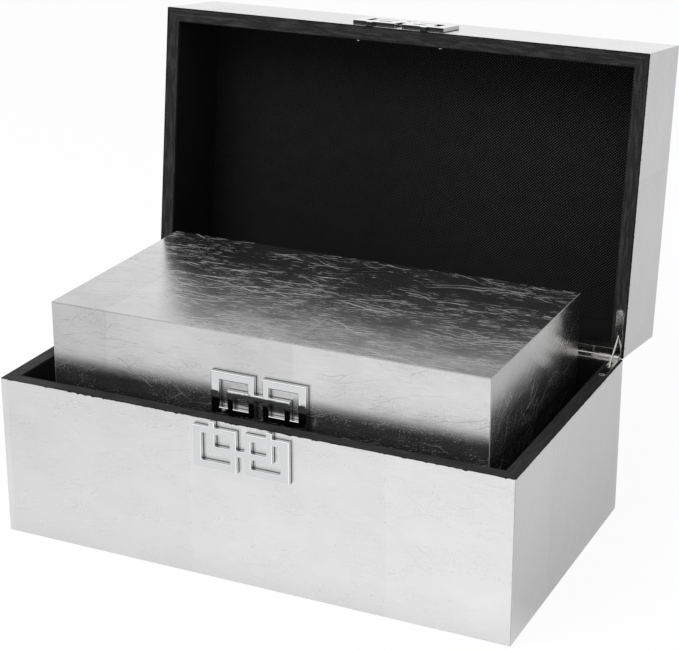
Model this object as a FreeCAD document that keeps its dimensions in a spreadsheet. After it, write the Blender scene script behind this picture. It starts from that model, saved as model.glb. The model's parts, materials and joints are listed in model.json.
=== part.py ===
"""Wedding card box: a silver-leafed box with its lid open, and a smaller closed one standing in it.

Each box is a base half and a lid half. A half is modelled rim up, with the hinge pin's line as its
X axis and the back of the box at y = 0. The lid half is then turned over and swung on that line.
In the finished part +X is right, +Y back and +Z up, with the origin under the middle of the outer box.
"""
import FreeCAD
import Part
import os
import re

doc = FreeCAD.newDocument("CardBox")
sheet = doc.addObject("Spreadsheet::Sheet", "Sizes")
nodes = []

# The driving dimensions, in millimetres and degrees
SIZES = {
    # The outer box: fibreboard panels, measured outside
    "outer_width": "400",
    "outer_depth": "228",
    "outer_base_height": "123",
    "outer_lid_height": "78",
    "outer_wall": "10.6",
    "outer_edge_radius": "1",
    # The inner box: what the outer one leaves for it, less the room around it
    "side_gap": "17.6",
    "front_gap": "16.4",
    "back_gap": "7.8",
    "head_gap": "12.2",
    "inner_lid_height": "65",
    "inner_wall": "9.6",
    "inner_edge_radius": "0.7",
    # The seam between base and lid, and how far the outer lid leans open
    "seam_gap": "0.6",
    "lid_open_angle": "97",
    # Cloth-covered card lining
    "lining_thickness": "0.8",
    "lining_reveal": "0.5",
    # Fret plate: bars and lanes from its middle outwards, then from the seam away
    "centre_slot_width": "6.4",
    "centre_bar_width": "5",
    "window_width": "11.9",
    "inner_bar_width": "4.6",
    "side_lane_width": "6.2",
    "outer_bar_width": "6.7",
    "plate_setback": "4.2",
    "near_bar_height": "4.9",
    "window_height": "9",
    "bridge_height": "4.7",
    "far_lane_height": "7.1",
    "far_bar_height": "6",
    "plate_thickness": "4",
    "plate_edge_radius": "0.7",
    # Pan-head screws that hold a fret plate from inside the box
    "plate_screw_drop": "9",
    "plate_screw_diameter": "2.2",
    "plate_skin": "1.4",
    "pan_head_diameter": "4",
    "pan_head_height": "2",
    "pan_edge_radius": "0.9",
    # Quadrant hinge: an L-shaped leaf in each rim, five knuckles on one pin
    "leaf_width": "6",
    "leaf_thickness": "1.2",
    "leaf_reach": "37.4",
    "leaf_clearance": "0.1",
    "back_leg_width": "4.6",
    "leaf_tail": "6",
    "barrel_length": "42",
    "barrel_diameter": "4",
    "barrel_clearance": "0.3",
    "knuckle_gap": "0.2",
    "pin_diameter": "2",
    "pin_clearance": "0.05",
    "pin_end_radius": "0.3",
    # Countersunk screws of the hinge leaves
    "leaf_screw_diameter": "2.2",
    "leaf_screw_length": "10",
    "leaf_head_diameter": "4.2",
    # Cross recess and running room shared by both kinds of screw
    "cross_length": "2.4",
    "cross_width": "0.6",
    "cross_depth": "0.8",
    "screw_clearance": "0.05",
    # Stay arm: a flat strip, bent a little, that leaves each rim at its reach from the pin when the lid
    # is open, with a thicker stop at each end
    "stay_reach": "15.5",
    "stay_bend_angle": "5",
    "stay_height": "1.6",
    "stay_thickness": "0.8",
    "stop_thickness": "2",
    "stop_length": "1.5",
    "stay_clearance": "0.3",
}

for row, (name, value) in enumerate(SIZES.items(), 1):
    sheet.set(f"A{row}", name)
    sheet.set(f"B{row}", value)
    sheet.setAlias(f"B{row}", name)
doc.recompute()

KNUCKLES = 5
CUT_OVERSHOOT = "1"
ALONG_X = FreeCAD.Rotation(FreeCAD.Vector(0, 1, 0), 90)
ALONG_MINUS_Y = FreeCAD.Rotation(FreeCAD.Vector(1, 0, 0), 90)
ALONG_MINUS_Z = FreeCAD.Rotation(FreeCAD.Vector(1, 0, 0), 180)

# Heights in a half's own frame, where the pin's line is at 0
RIM = "(-seam_gap / 2)"
LEAF_UNDERSIDE = f"({RIM} - leaf_thickness)"
PLATE_SCREW_HEIGHT = f"({RIM} - plate_screw_drop)"

# The fret plate's edges: across from its middle, and down from the rim
CENTRE_BAR = "(centre_slot_width / 2)"
WINDOW = f"({CENTRE_BAR} + centre_bar_width)"
INNER_BAR = f"({WINDOW} + window_width)"
SIDE_LANE = f"({INNER_BAR} + inner_bar_width)"
OUTER_BAR = f"({SIDE_LANE} + side_lane_width)"
PLATE_SIDE = f"({OUTER_BAR} + outer_bar_width)"
NEAR_BAR = f"({RIM} - plate_setback)"
WINDOW_TOP = f"({NEAR_BAR} - near_bar_height)"
BRIDGE = f"({WINDOW_TOP} - window_height)"
FAR_LANE = f"({BRIDGE} - bridge_height)"
FAR_BAR = f"({FAR_LANE} - far_lane_height)"
PLATE_FAR_EDGE = f"({FAR_BAR} - far_bar_height)"
PLATE_SCREW_X = f"({OUTER_BAR} + outer_bar_width / 2)"

# The leaf's back leg starts clear of the barrel
BARREL_ROOM = "(barrel_diameter / 2 + barrel_clearance)"
BACK_LEG_FRONT = f"({BARREL_ROOM} + back_leg_width)"

# The stay arm's bend, about a line behind the pin, and its arc each side of its middle, in degrees
STAY_BEND = "(stay_reach * sin(lid_open_angle / 2) / sin(stay_bend_angle))"
BEND_CENTRE = f"({STAY_BEND} * cos(stay_bend_angle) - stay_reach * cos(lid_open_angle / 2))"
STAY_SLANT = "(lid_open_angle / 2 - stay_bend_angle)"
EMBEDDED = (f"((seam_gap / 2 + leaf_thickness + stay_clearance) / cos({STAY_SLANT})"
            f" + stay_height / 2 * tan({STAY_SLANT}))")
STOP_ANGLE = f"(stop_length / {STAY_BEND} * 180 / pi)"
HALF_ARC = f"(stay_bend_angle + {EMBEDDED} / {STAY_BEND} * 180 / pi + {STOP_ANGLE})"
STAY_OUTSIDE = f"({STAY_BEND} + stay_height / 2)"
STAY_INSIDE = f"({STAY_BEND} - stay_height / 2)"

# The stay arm's room: its end swings furthest forward as the lid opens, and is deepest when shut
STAY_END_FRONT = f"({STAY_OUTSIDE} * cos({HALF_ARC}) - {BEND_CENTRE})"
STAY_END_DEPTH = f"({STAY_OUTSIDE} * sin({HALF_ARC}))"
MORTISE_FRONT = f"(sqrt({STAY_END_FRONT} ^ 2 + {STAY_END_DEPTH} ^ 2) + stay_clearance)"
MORTISE_BACK = f"({STAY_INSIDE} * cos({HALF_ARC}) - {BEND_CENTRE} - stay_clearance)"
MORTISE_DEPTH = f"({STAY_END_DEPTH} + stay_clearance)"


class Box:
    """The formulas that give one of the two boxes its sizes and its hinge line."""

    def __init__(self, name, width, depth, base_height, lid_height, hinge_y, hinge_z, rest_angle):
        self.name = name
        self.width = f"({width})"
        self.depth = f"({depth})"
        self.heights = {"base": f"({base_height})", "lid": f"({lid_height})"}
        self.wall = f"{name}_wall"
        self.edge_radius = f"{name}_edge_radius"
        self.side = f"({self.width} / 2)"
        self.leaf_side = f"({self.side} - ({self.wall} - leaf_width) / 2)"
        self.leaf_middle = f"({self.side} - {self.wall} / 2)"
        self.barrel_end = f"({self.leaf_side} - barrel_length)"
        self.tail_end = f"({self.barrel_end} - leaf_tail)"
        self.inside_front = f"(-{self.depth} + {self.wall} + lining_thickness)"
        self.hinge = f"vector(0; {hinge_y}; {hinge_z})"
        self.rest_angle = rest_angle


INNER_HEIGHT = ("(outer_base_height + outer_lid_height + seam_gap - 2 * outer_wall"
                " - 2 * lining_thickness - head_gap)")
INNER_BASE_HEIGHT = f"({INNER_HEIGHT} - seam_gap - inner_lid_height)"
OUTER_SKIN = "(outer_wall + lining_thickness)"
outer_box = Box("outer", "outer_width", "outer_depth", "outer_base_height", "outer_lid_height",
                "outer_depth / 2", "outer_base_height + seam_gap / 2", "lid_open_angle")
inner_box = Box("inner", f"outer_width - 2 * {OUTER_SKIN} - 2 * side_gap",
                f"outer_depth - 2 * {OUTER_SKIN} - front_gap - back_gap",
                INNER_BASE_HEIGHT, "inner_lid_height",
                f"outer_depth / 2 - {OUTER_SKIN} - back_gap",
                f"{OUTER_SKIN} + {INNER_BASE_HEIGHT} + seam_gap / 2", "0")


def bind(piece, setting, formula):
    """Tie one property of a piece to the sheet: words joined by _ are the sheet's names."""
    piece.setExpression(setting, re.sub(r"[a-z]+(_[a-z]+)+", r"Sizes.\g<0>", formula))


def block(name, x, y, z):
    """A box between a low and a high formula on each axis."""
    piece = doc.addObject("Part::Box", name)
    for setting, axis, (low, high) in zip(("Length", "Width", "Height"), "xyz", (x, y, z)):
        bind(piece, setting, f"({high}) - ({low})")
        bind(piece, f".Placement.Base.{axis}", low)
    return piece


def around(middle, span):
    """A low and a high formula, half a span each side of a middle."""
    return f"{middle} - ({span}) / 2", f"{middle} + ({span}) / 2"


def set_start(piece, turn, x, y, z):
    """Turn a primitive and tie its start point."""
    piece.Placement = FreeCAD.Placement(FreeCAD.Vector(), turn)
    for axis, formula in zip("xyz", (x, y, z)):
        bind(piece, f".Placement.Base.{axis}", formula)
    return piece


def rod(name, radius, length, turn, x, y, z):
    """A round bar from its start point along the turned Z axis."""
    piece = doc.addObject("Part::Cylinder", name)
    bind(piece, "Radius", radius)
    bind(piece, "Height", length)
    return set_start(piece, turn, x, y, z)


def taper(name, start_radius, end_radius, length, turn, x, y, z):
    """A cone from its start point along the turned Z axis."""
    piece = doc.addObject("Part::Cone", name)
    bind(piece, "Radius1", start_radius)
    bind(piece, "Radius2", end_radius)
    bind(piece, "Height", length)
    return set_start(piece, turn, x, y, z)


def cut(name, base, tool):
    """A piece with a tool's shape taken out of it."""
    piece = doc.addObject("Part::Cut", name)
    piece.Base = base
    piece.Tool = tool
    return piece


def fuse(name, pieces):
    """Several shapes as one solid, with flush faces merged."""
    piece = doc.addObject("Part::MultiFuse", name)
    piece.Shapes = pieces
    piece.Refine = True
    return piece


def common(name, first, second):
    """What two shapes share."""
    piece = doc.addObject("Part::Common", name)
    piece.Base = first
    piece.Tool = second
    return piece


def group(name, pieces):
    """Separate solids that share one node."""
    piece = doc.addObject("Part::Compound", name)
    piece.Links = pieces
    return piece


def mirror(name, source):
    """The same piece on the other side of the box's middle."""
    piece = doc.addObject("Part::Mirroring", name)
    piece.Source = source
    piece.Normal = FreeCAD.Vector(1, 0, 0)
    return piece


def round_edges(name, base, radius, wanted):
    """Fillet the edges that a test picks, with a radius from the sheet."""
    doc.recompute()
    amount = sheet.get(radius)
    chosen = [index for index, edge in enumerate(base.Shape.Edges, 1) if wanted(edge)]
    piece = doc.addObject("Part::Fillet", name)
    piece.Base = base
    piece.Edges = [(index, amount, amount) for index in chosen]
    return piece


def in_plane(edge, axis, level):
    """Whether an edge lies wholly at one level of an axis."""
    box = edge.BoundBox
    low, high = (box.YMin, box.YMax) if axis == "y" else (box.ZMin, box.ZMax)
    return max(abs(low - level), abs(high - level)) <= edge.Tolerance


def keep(piece, name, box, half):
    """Name a finished piece, and set its half on the hinge line: a base as it is, a lid turned over."""
    turn = "0"
    flip = "0"
    if half == "lid":
        turn = f"-({box.rest_angle})"
        flip = "180"
    if half == "stay":
        turn = f"-({box.rest_angle}) / 2"
    bind(piece, ".Placement", f"placement({box.hinge}; rotation(vector(1; 0; 0); {turn}))"
         f" * placement(vector(0; 0; 0); rotation(vector(0; 1; 0); {flip}))")
    piece.Label = name
    nodes.append(piece)
    return piece


def keep_pair(piece, box, half, name):
    """A finished piece of the +X side of a half and its mirror, named for the sides they end up on."""
    sides = ("left", "right") if half == "lid" else ("right", "left")
    stem = f"{box.name}_{half}" if half in ("base", "lid") else box.name
    keep(piece, f"{stem}_{sides[0]}_{name}", box, half)
    other = mirror(f"{piece.Name}_mirror", piece)
    other.Label = f"{stem}_{sides[1]}_{name}"
    nodes.append(other)


def cross_recess(name, x, y, z):
    """The two crossed slots that a driver turns, sunk along the axis that is given as a low and a high."""
    slots = []
    for order in (("cross_length", "cross_width"), ("cross_width", "cross_length")):
        spans = iter(order)
        limits = [place if isinstance(place, tuple) else around(place, next(spans)) for place in (x, y, z)]
        slots.append(block(f"{name}_slot", *limits))
    return fuse(name, slots)


def leaf_screw(name, x, y):
    """A countersunk wood screw, its head flush with the leaf, and the room that it takes."""
    shank = rod(f"{name}_shank", "leaf_screw_diameter / 2", "leaf_screw_length", ALONG_MINUS_Z, x, y, RIM)
    head = taper(f"{name}_head", "leaf_head_diameter / 2", "leaf_screw_diameter / 2", "leaf_thickness",
                 ALONG_MINUS_Z, x, y, RIM)
    sunk = (f"{RIM} - cross_depth", f"{RIM} + {CUT_OVERSHOOT}")
    recess = cross_recess(f"{name}_cross", x, y, sunk)
    screw = cut(name, fuse(f"{name}_blank", [shank, head]), recess)
    bore = rod(f"{name}_bore", "leaf_screw_diameter / 2 + screw_clearance",
               "leaf_screw_length + screw_clearance", ALONG_MINUS_Z, x, y, RIM)
    sink = taper(f"{name}_sink", "leaf_head_diameter / 2 + screw_clearance",
                 "leaf_screw_diameter / 2 + screw_clearance", "leaf_thickness", ALONG_MINUS_Z, x, y, RIM)
    return screw, fuse(f"{name}_room", [bore, sink])


def plate_screw(name, box):
    """A pan-head screw from inside the front wall into the fret plate, and the room that it takes."""
    grip = f"({box.wall} + lining_thickness + plate_thickness - plate_skin)"
    place = (PLATE_SCREW_X, box.inside_front, PLATE_SCREW_HEIGHT)
    shank = rod(f"{name}_shank", "plate_screw_diameter / 2", grip, ALONG_MINUS_Y, *place)
    top = f"({box.inside_front} + pan_head_height)"
    disc = rod(f"{name}_disc", "pan_head_diameter / 2", "pan_head_height", ALONG_MINUS_Y,
               PLATE_SCREW_X, top, PLATE_SCREW_HEIGHT)
    doc.recompute()
    crown = disc.Shape.BoundBox.YMax
    head = round_edges(f"{name}_head", disc, "pan_edge_radius", lambda edge: in_plane(edge, "y", crown))
    sunk = (f"{top} - cross_depth", f"{top} + {CUT_OVERSHOOT}")
    recess = cross_recess(f"{name}_cross", PLATE_SCREW_X, sunk, PLATE_SCREW_HEIGHT)
    screw = cut(name, fuse(f"{name}_blank", [shank, head]), recess)
    room = rod(f"{name}_room", "plate_screw_diameter / 2 + screw_clearance", f"{grip} + screw_clearance",
               ALONG_MINUS_Y, *place)
    return screw, room


def leaf_outline(name, box, margin, low, high):
    """The L of a hinge leaf as a slab: a side leg and a back leg, each with a round end."""
    radius = f"leaf_width / 2 + {margin}"
    tail_radius = f"back_leg_width / 2 + {margin}"
    side_end = "(-leaf_reach + leaf_width / 2)"
    tail_end = f"({box.tail_end} + back_leg_width / 2)"
    height = f"({high}) - ({low})"
    side_leg = block(f"{name}_side_leg", around(box.leaf_middle, f"leaf_width + 2 * {margin}"),
                     (side_end, f"-{BARREL_ROOM} + {margin}"), (low, high))
    side_round = rod(f"{name}_side_round", radius, height, FreeCAD.Rotation(),
                     box.leaf_middle, side_end, low)
    back_leg = block(f"{name}_back_leg", (tail_end, box.leaf_middle),
                     (f"-{BACK_LEG_FRONT} - {margin}", f"-{BARREL_ROOM} + {margin}"), (low, high))
    tail_round = rod(f"{name}_tail_round", tail_radius, height, FreeCAD.Rotation(), tail_end,
                     f"-{BARREL_ROOM} - back_leg_width / 2", low)
    return fuse(name, [side_leg, side_round, back_leg, tail_round])


def hinge_leaf(name, box, half, screw_rooms):
    """One leaf with its share of the knuckles, bored for the pin and slotted for the stay arm."""
    plate = leaf_outline(f"{name}_plate", box, "0", LEAF_UNDERSIDE, RIM)
    pitch = f"(barrel_length / {KNUCKLES})"
    first = 0 if half == "base" else 1
    solids = [plate]
    for index in range(first, KNUCKLES, 2):
        start = f"({box.leaf_side} - {index + 1} * {pitch} + knuckle_gap / 2)"
        end = f"({box.leaf_side} - {index} * {pitch} - knuckle_gap / 2)"
        solids.append(rod(f"{name}_knuckle_{index}", "barrel_diameter / 2", f"{end} - {start}", ALONG_X,
                          start, "0", "0"))
        solids.append(block(f"{name}_tongue_{index}", (start, end), (f"-{BARREL_ROOM}", "0"),
                            (LEAF_UNDERSIDE, RIM)))
    bore = rod(f"{name}_bore", "pin_diameter / 2 + pin_clearance", f"barrel_length + 2 * {CUT_OVERSHOOT}",
               ALONG_X, f"{box.barrel_end} - {CUT_OVERSHOOT}", "0", "0")
    slot = block(f"{name}_slot", around(box.leaf_middle, "stay_thickness + 2 * stay_clearance"),
                 (f"-{MORTISE_FRONT}", f"-{MORTISE_BACK}"),
                 (f"{LEAF_UNDERSIDE} - {CUT_OVERSHOOT}", f"{RIM} + {CUT_OVERSHOOT}"))
    return cut(name, fuse(f"{name}_blank", solids), fuse(f"{name}_room", [bore, slot] + screw_rooms))


def hinge_housing(name, box):
    """What one hinge takes out of the wood: leaf recess, barrel groove, knuckle seat and stay mortise."""
    above_rim = f"{RIM} + {CUT_OVERSHOOT}"
    recess = leaf_outline(f"{name}_recess", box, "leaf_clearance", LEAF_UNDERSIDE, above_rim)
    groove = rod(f"{name}_groove", BARREL_ROOM, "barrel_length + 2 * barrel_clearance", ALONG_X,
                 f"{box.barrel_end} - barrel_clearance", "0", "0")
    seat = block(f"{name}_seat", (box.barrel_end, f"{box.leaf_side} + leaf_clearance"),
                 (f"-{BARREL_ROOM}", "0"), (LEAF_UNDERSIDE, above_rim))
    mortise = block(f"{name}_mortise", around(box.leaf_middle, "stop_thickness + 2 * stay_clearance"),
                    (f"-{MORTISE_FRONT}", f"-{MORTISE_BACK}"), (f"-{MORTISE_DEPTH}", RIM))
    return [recess, groove, seat, mortise]


def trapezium(name, turn, low, high, low_span, high_span, z):
    """A mitred length of wall: a prism whose span across changes from its low side to its high side."""
    piece = doc.addObject("Part::Wedge", name)
    piece.Placement = FreeCAD.Placement(FreeCAD.Vector(), turn)
    spans = {"Xmin": low_span[0], "Xmax": low_span[1], "X2min": high_span[0], "X2max": high_span[1]}
    levels = {"Ymin": low, "Ymax": high, "Zmin": z[0], "Zmax": z[1], "Z2min": z[0], "Z2max": z[1]}
    for setting, formula in {**spans, **levels}.items():
        bind(piece, setting, formula)
    return piece


def fret_plate(name, box, screw_rooms):
    """The cast ornament at the seam: two nested squares of bars on a bridge, with tabs up to the rim."""
    y = (f"-{box.depth} - plate_thickness", f"-{box.depth}")
    bars = [block(f"{name}_bridge", (f"-{SIDE_LANE}", SIDE_LANE), y, (FAR_LANE, BRIDGE))]
    right = [
        block(f"{name}_near_bar", (CENTRE_BAR, PLATE_SIDE), y, (WINDOW_TOP, NEAR_BAR)),
        block(f"{name}_far_bar", (CENTRE_BAR, PLATE_SIDE), y, (PLATE_FAR_EDGE, FAR_BAR)),
        block(f"{name}_centre_bar", (CENTRE_BAR, WINDOW), y, (PLATE_FAR_EDGE, NEAR_BAR)),
        block(f"{name}_outer_bar", (OUTER_BAR, PLATE_SIDE), y, (PLATE_FAR_EDGE, NEAR_BAR)),
        block(f"{name}_tab_bar", (INNER_BAR, SIDE_LANE), y, (FAR_LANE, RIM)),
    ]
    left = [mirror(f"{bar.Name}_mirror", bar) for bar in right]
    casting = fuse(f"{name}_casting", bars + right + left)
    doc.recompute()
    front = casting.Shape.BoundBox.YMin
    softened = round_edges(f"{name}_softened", casting, "plate_edge_radius",
                           lambda edge: in_plane(edge, "y", front))
    return cut(name, softened, screw_rooms)


def lining(name, box, height, screw_rooms):
    """Four strips of lined card on the walls, which stand on a fifth piece on the panel."""
    panel_top = f"({RIM} - {height} + {box.wall})"
    z = (f"{panel_top} + lining_thickness", f"{RIM} - lining_reveal")
    inside = f"({box.side} - {box.wall})"
    across = (f"-{inside}", inside)
    inside_back = f"(-{box.wall} - lining_thickness)"
    front = block(f"{name}_front", across, (f"-{box.depth} + {box.wall}", box.inside_front), z)
    back = block(f"{name}_back", across, (inside_back, f"-{box.wall}"), z)
    right = block(f"{name}_right", (f"{inside} - lining_thickness", inside),
                  (box.inside_front, inside_back), z)
    strips = [cut(f"{name}_front_bored", front, screw_rooms), back, right, mirror(f"{name}_left", right)]
    card = block(f"{name}_card", across, (f"-{box.depth} + {box.wall}", f"-{box.wall}"),
                 (panel_top, f"{panel_top} + lining_thickness"))
    return group(name, strips), group(f"{name}_panel", [card])


def wood(name, box, height, rooms):
    """The five panels of a half: one rounded hollow block, split at the mitres and at the panel's face."""
    bottom = f"({RIM} - {height})"
    panel_top = f"({bottom} + {box.wall})"
    inside = f"({box.side} - {box.wall})"
    outside = block(f"{name}_outside", (f"-{box.side}", box.side), (f"-{box.depth}", "0"), (bottom, RIM))
    doc.recompute()
    rim_level = outside.Shape.BoundBox.ZMax
    rounded = round_edges(f"{name}_rounded", outside, box.edge_radius,
                          lambda edge: not in_plane(edge, "z", rim_level))
    hollow = block(f"{name}_hollow", (f"-{inside}", inside), (f"-{box.depth} + {box.wall}", f"-{box.wall}"),
                   (panel_top, f"{RIM} + {CUT_OVERSHOOT}"))
    carcass = cut(f"{name}_carcass", cut(f"{name}_tray", rounded, hollow), rooms)
    upright = (panel_top, RIM)
    full = (f"-{box.side}", box.side)
    short = (f"-{inside}", inside)
    straight = FreeCAD.Rotation()
    sideways = FreeCAD.Rotation(FreeCAD.Vector(0, 0, 1), -90)
    shapes = {
        "front": trapezium(f"{name}_front_span", straight, f"-{box.depth}", f"-{box.depth} + {box.wall}",
                           full, short, upright),
        "back": trapezium(f"{name}_back_span", straight, f"-{box.wall}", "0", short, full, upright),
        "side": trapezium(f"{name}_side_span", sideways, inside, box.side,
                          (box.wall, f"{box.depth} - {box.wall}"), ("0", box.depth), upright),
        "panel": block(f"{name}_panel_span", full, (f"-{box.depth}", "0"), (bottom, panel_top)),
    }
    return {part: common(f"{name}_{part}", carcass, span) for part, span in shapes.items()}


def both_sides(name, right):
    """The tool of the +X side together with its mirror."""
    return fuse(name, [right, mirror(f"{name}_mirror", right)])


def build_half(box, half):
    """All the pieces of a base or a lid."""
    name = f"{box.name}_{half}"
    height = box.heights[half]
    panel, spread = ("bottom_panel", "floor_lining") if half == "base" else ("top_panel", "top_lining")

    side_screw, side_room = leaf_screw(f"{name}_side_screw", box.leaf_middle,
                                       "(-leaf_reach + leaf_width / 2)")
    tail_screw, tail_room = leaf_screw(f"{name}_tail_screw", f"({box.tail_end} + back_leg_width / 2)",
                                       f"(-{BARREL_ROOM} - back_leg_width / 2)")
    fret_screw, fret_room = plate_screw(f"{name}_fret_screw", box)
    housing = hinge_housing(f"{name}_housing", box)
    one_side = fuse(f"{name}_right_rooms", housing + [side_room, tail_room, fret_room])
    wood_rooms = both_sides(f"{name}_rooms", one_side)
    fret_rooms = both_sides(f"{name}_fret_rooms", fret_room)

    panels = wood(f"{name}_wood", box, height, wood_rooms)
    keep(panels["front"], f"{name}_front_wall", box, half)
    keep(panels["back"], f"{name}_back_wall", box, half)
    keep_pair(panels["side"], box, half, "side_wall")
    keep(panels["panel"], f"{name}_{panel}", box, half)

    strips, panel_lining = lining(f"{name}_lining", box, height, fret_rooms)
    keep(strips, f"{name}_wall_lining", box, half)
    keep(panel_lining, f"{name}_{spread}", box, half)

    keep(fret_plate(f"{name}_fret", box, fret_rooms), f"{name}_fret_plate", box, half)
    fret_pair = [fret_screw, mirror(f"{name}_fret_screw_mirror", fret_screw)]
    keep(group(f"{name}_fret_screws", fret_pair), f"{name}_plate_screws", box, half)

    keep_pair(hinge_leaf(f"{name}_leaf", box, half, [side_room, tail_room]), box, half, "hinge_leaf")
    leaf_screws = [side_screw, tail_screw]
    leaf_screws += [mirror(f"{screw.Name}_mirror", screw) for screw in (side_screw, tail_screw)]
    keep(group(f"{name}_leaf_screws", leaf_screws), f"{name}_hinge_screws", box, half)


def arc_bar(name, box, thickness, sweep, start_angle):
    """A flat bar, bent about a line behind the pin: a rectangle swept up from an angle below its middle."""
    section = doc.addObject("Part::Plane", f"{name}_section")
    bind(section, "Length", thickness)
    bind(section, "Width", "stay_height")
    set_start(section, FreeCAD.Rotation(), f"{box.leaf_middle} - {thickness} / 2", f"-{STAY_OUTSIDE}", "0")
    bar = doc.addObject("Part::Revolution", name)
    bar.Source = section
    bar.Axis = FreeCAD.Vector(-1, 0, 0)
    bar.Solid = True
    bind(bar, "Angle", sweep)
    bind(bar, ".Placement",
         f"placement(vector(0; {BEND_CENTRE}; 0); rotation(vector(1; 0; 0); {start_angle}))")
    return bar


def build_hinge_links(box):
    """What joins the halves: the hinge pins, and the stay arms that stop the lid."""
    pin = rod(f"{box.name}_pin_bar", "pin_diameter / 2", "barrel_length", ALONG_X, box.barrel_end, "0", "0")
    ends_eased = round_edges(f"{box.name}_pin", pin, "pin_end_radius", lambda edge: edge.Closed)
    keep_pair(ends_eased, box, "pin", "hinge_pin")
    arm = arc_bar(f"{box.name}_arm", box, "stay_thickness", f"2 * {HALF_ARC}", HALF_ARC)
    low_stop = arc_bar(f"{box.name}_low_stop", box, "stop_thickness", STOP_ANGLE, HALF_ARC)
    high_stop = arc_bar(f"{box.name}_high_stop", box, "stop_thickness", STOP_ANGLE,
                        f"{STOP_ANGLE} - {HALF_ARC}")
    keep_pair(fuse(f"{box.name}_stay", [arm, low_stop, high_stop]), box, "stay", "stay_arm")


for box in (outer_box, inner_box):
    build_half(box, "base")
    build_half(box, "lid")
    build_hinge_links(box)

doc.recompute()
for piece in doc.Objects:
    if "Invalid" in piece.State or "Error" in piece.State:
        raise RuntimeError(f"{piece.Label} did not build: {piece.State}")
for piece in nodes:
    if piece.Shape.isNull() or not piece.Shape.isValid() or piece.Shape.Volume <= 0:
        raise RuntimeError(f"{piece.Label} has no sound shape")

os.makedirs("parts", exist_ok=True)
for piece in nodes:
    piece.Shape.exportStep(f"parts/{piece.Label}.step")
print(f"{len(nodes)} nodes, {sum(len(piece.Shape.Solids) for piece in nodes)} solids")
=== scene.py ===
"""A nested pair of card boxes in silver leaf, the outer one open with the inner one standing in it."""
import json
import math

import bmesh
import bpy
from mathutils import Matrix, Vector


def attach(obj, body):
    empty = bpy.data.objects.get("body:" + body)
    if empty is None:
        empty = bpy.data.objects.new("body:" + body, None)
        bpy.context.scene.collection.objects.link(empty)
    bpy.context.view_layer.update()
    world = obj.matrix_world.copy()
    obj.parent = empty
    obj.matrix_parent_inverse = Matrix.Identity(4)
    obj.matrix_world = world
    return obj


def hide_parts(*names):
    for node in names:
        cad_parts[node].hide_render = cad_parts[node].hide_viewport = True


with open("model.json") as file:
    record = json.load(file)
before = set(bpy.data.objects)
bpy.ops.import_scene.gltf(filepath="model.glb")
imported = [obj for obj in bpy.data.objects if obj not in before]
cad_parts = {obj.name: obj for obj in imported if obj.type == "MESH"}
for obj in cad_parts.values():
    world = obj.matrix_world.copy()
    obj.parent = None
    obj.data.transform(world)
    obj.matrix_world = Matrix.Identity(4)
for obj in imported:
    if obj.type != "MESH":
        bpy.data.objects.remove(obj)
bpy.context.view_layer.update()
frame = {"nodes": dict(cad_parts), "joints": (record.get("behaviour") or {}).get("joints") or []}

# Carcass: the fibreboard walls and panels of the two bases and two lids, glued at their mitres.
# Thin silver leaf is laid on the outside in square sheets and lacquered, so the board shows nowhere.
# The rims and the undersides are brushed with matt dark grey paint before the leaf goes on.
MM = 0.001
SHEET = 151 * MM
LAP = 0.5 * MM
BACK_ROW = 50 * MM
FIRST_ON_SIDE = 5.0
FIRST_ON_PANEL = 3.0
TONE_STEP = 0.37
STRAND_STEP = 7.31
HALVES = ("outer_base", "outer_lid", "inner_base", "inner_lid")
BOARD_PIECES = ("front_wall", "back_wall", "left_side_wall", "right_side_wall")
PANELS = {"base": "bottom_panel", "lid": "top_panel"}
nodes = frame["nodes"]
joints = {joint["name"]: joint for joint in frame["joints"]}

# A Mix node's inputs share their names, so the ones for numbers, vectors and colours go by their order
FLOAT_A, FLOAT_B, VECTOR_A, VECTOR_B, COLOUR_A, COLOUR_B = 2, 3, 4, 5, 6, 7


def linear(code):
    """An sRGB hex colour as the linear values that a socket takes."""
    channels = [int(code[start:start + 2], 16) / 255 for start in (1, 3, 5)]
    return [c / 12.92 if c <= 0.04045 else ((c + 0.055) / 1.055) ** 2.4 for c in channels] + [1]


def add(tree, kind, sockets, **settings):
    """A node with its settings, and for each named socket a value, or the node or output that feeds it."""
    made = tree.nodes.new(kind)
    for name, value in settings.items():
        setattr(made, name, value)
    for socket, value in sockets.items():
        if isinstance(value, bpy.types.Node):
            value = value.outputs[0]
        if isinstance(value, bpy.types.NodeSocket):
            tree.links.new(value, made.inputs[socket])
        else:
            made.inputs[socket].default_value = value
    return made


def new_material(name):
    """An empty material and its node tree."""
    material = bpy.data.materials.new(name)
    material.use_nodes = True
    material.node_tree.nodes.clear()
    return material, material.node_tree


def paint(names, material):
    """Give CAD pieces their finish."""
    for name in names:
        nodes[name].data.materials.clear()
        nodes[name].data.materials.append(material)


def closing(half):
    """The turn that shuts a half on its hinge: none for a base or for the inner lid, which is shut."""
    if half != "outer_lid":
        return Matrix()
    hinge = joints["outer_lid_hinge"]
    pivot = Matrix.Translation(hinge["pos_m"])
    turn = Matrix.Rotation(math.radians(hinge["range_deg"][1]), 4, Vector(hinge["axis"]))
    return pivot @ turn @ pivot.inverted()


def closed_points(names, half):
    """The corners of some CAD pieces, with their half shut."""
    shut = closing(half)
    return [shut @ vertex.co for name in names for vertex in nodes[name].data.vertices]


def corners(points):
    """The lowest and the highest corner of a set of points."""
    return [Vector(pick(point[axis] for point in points) for axis in range(3)) for pick in (min, max)]


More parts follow.
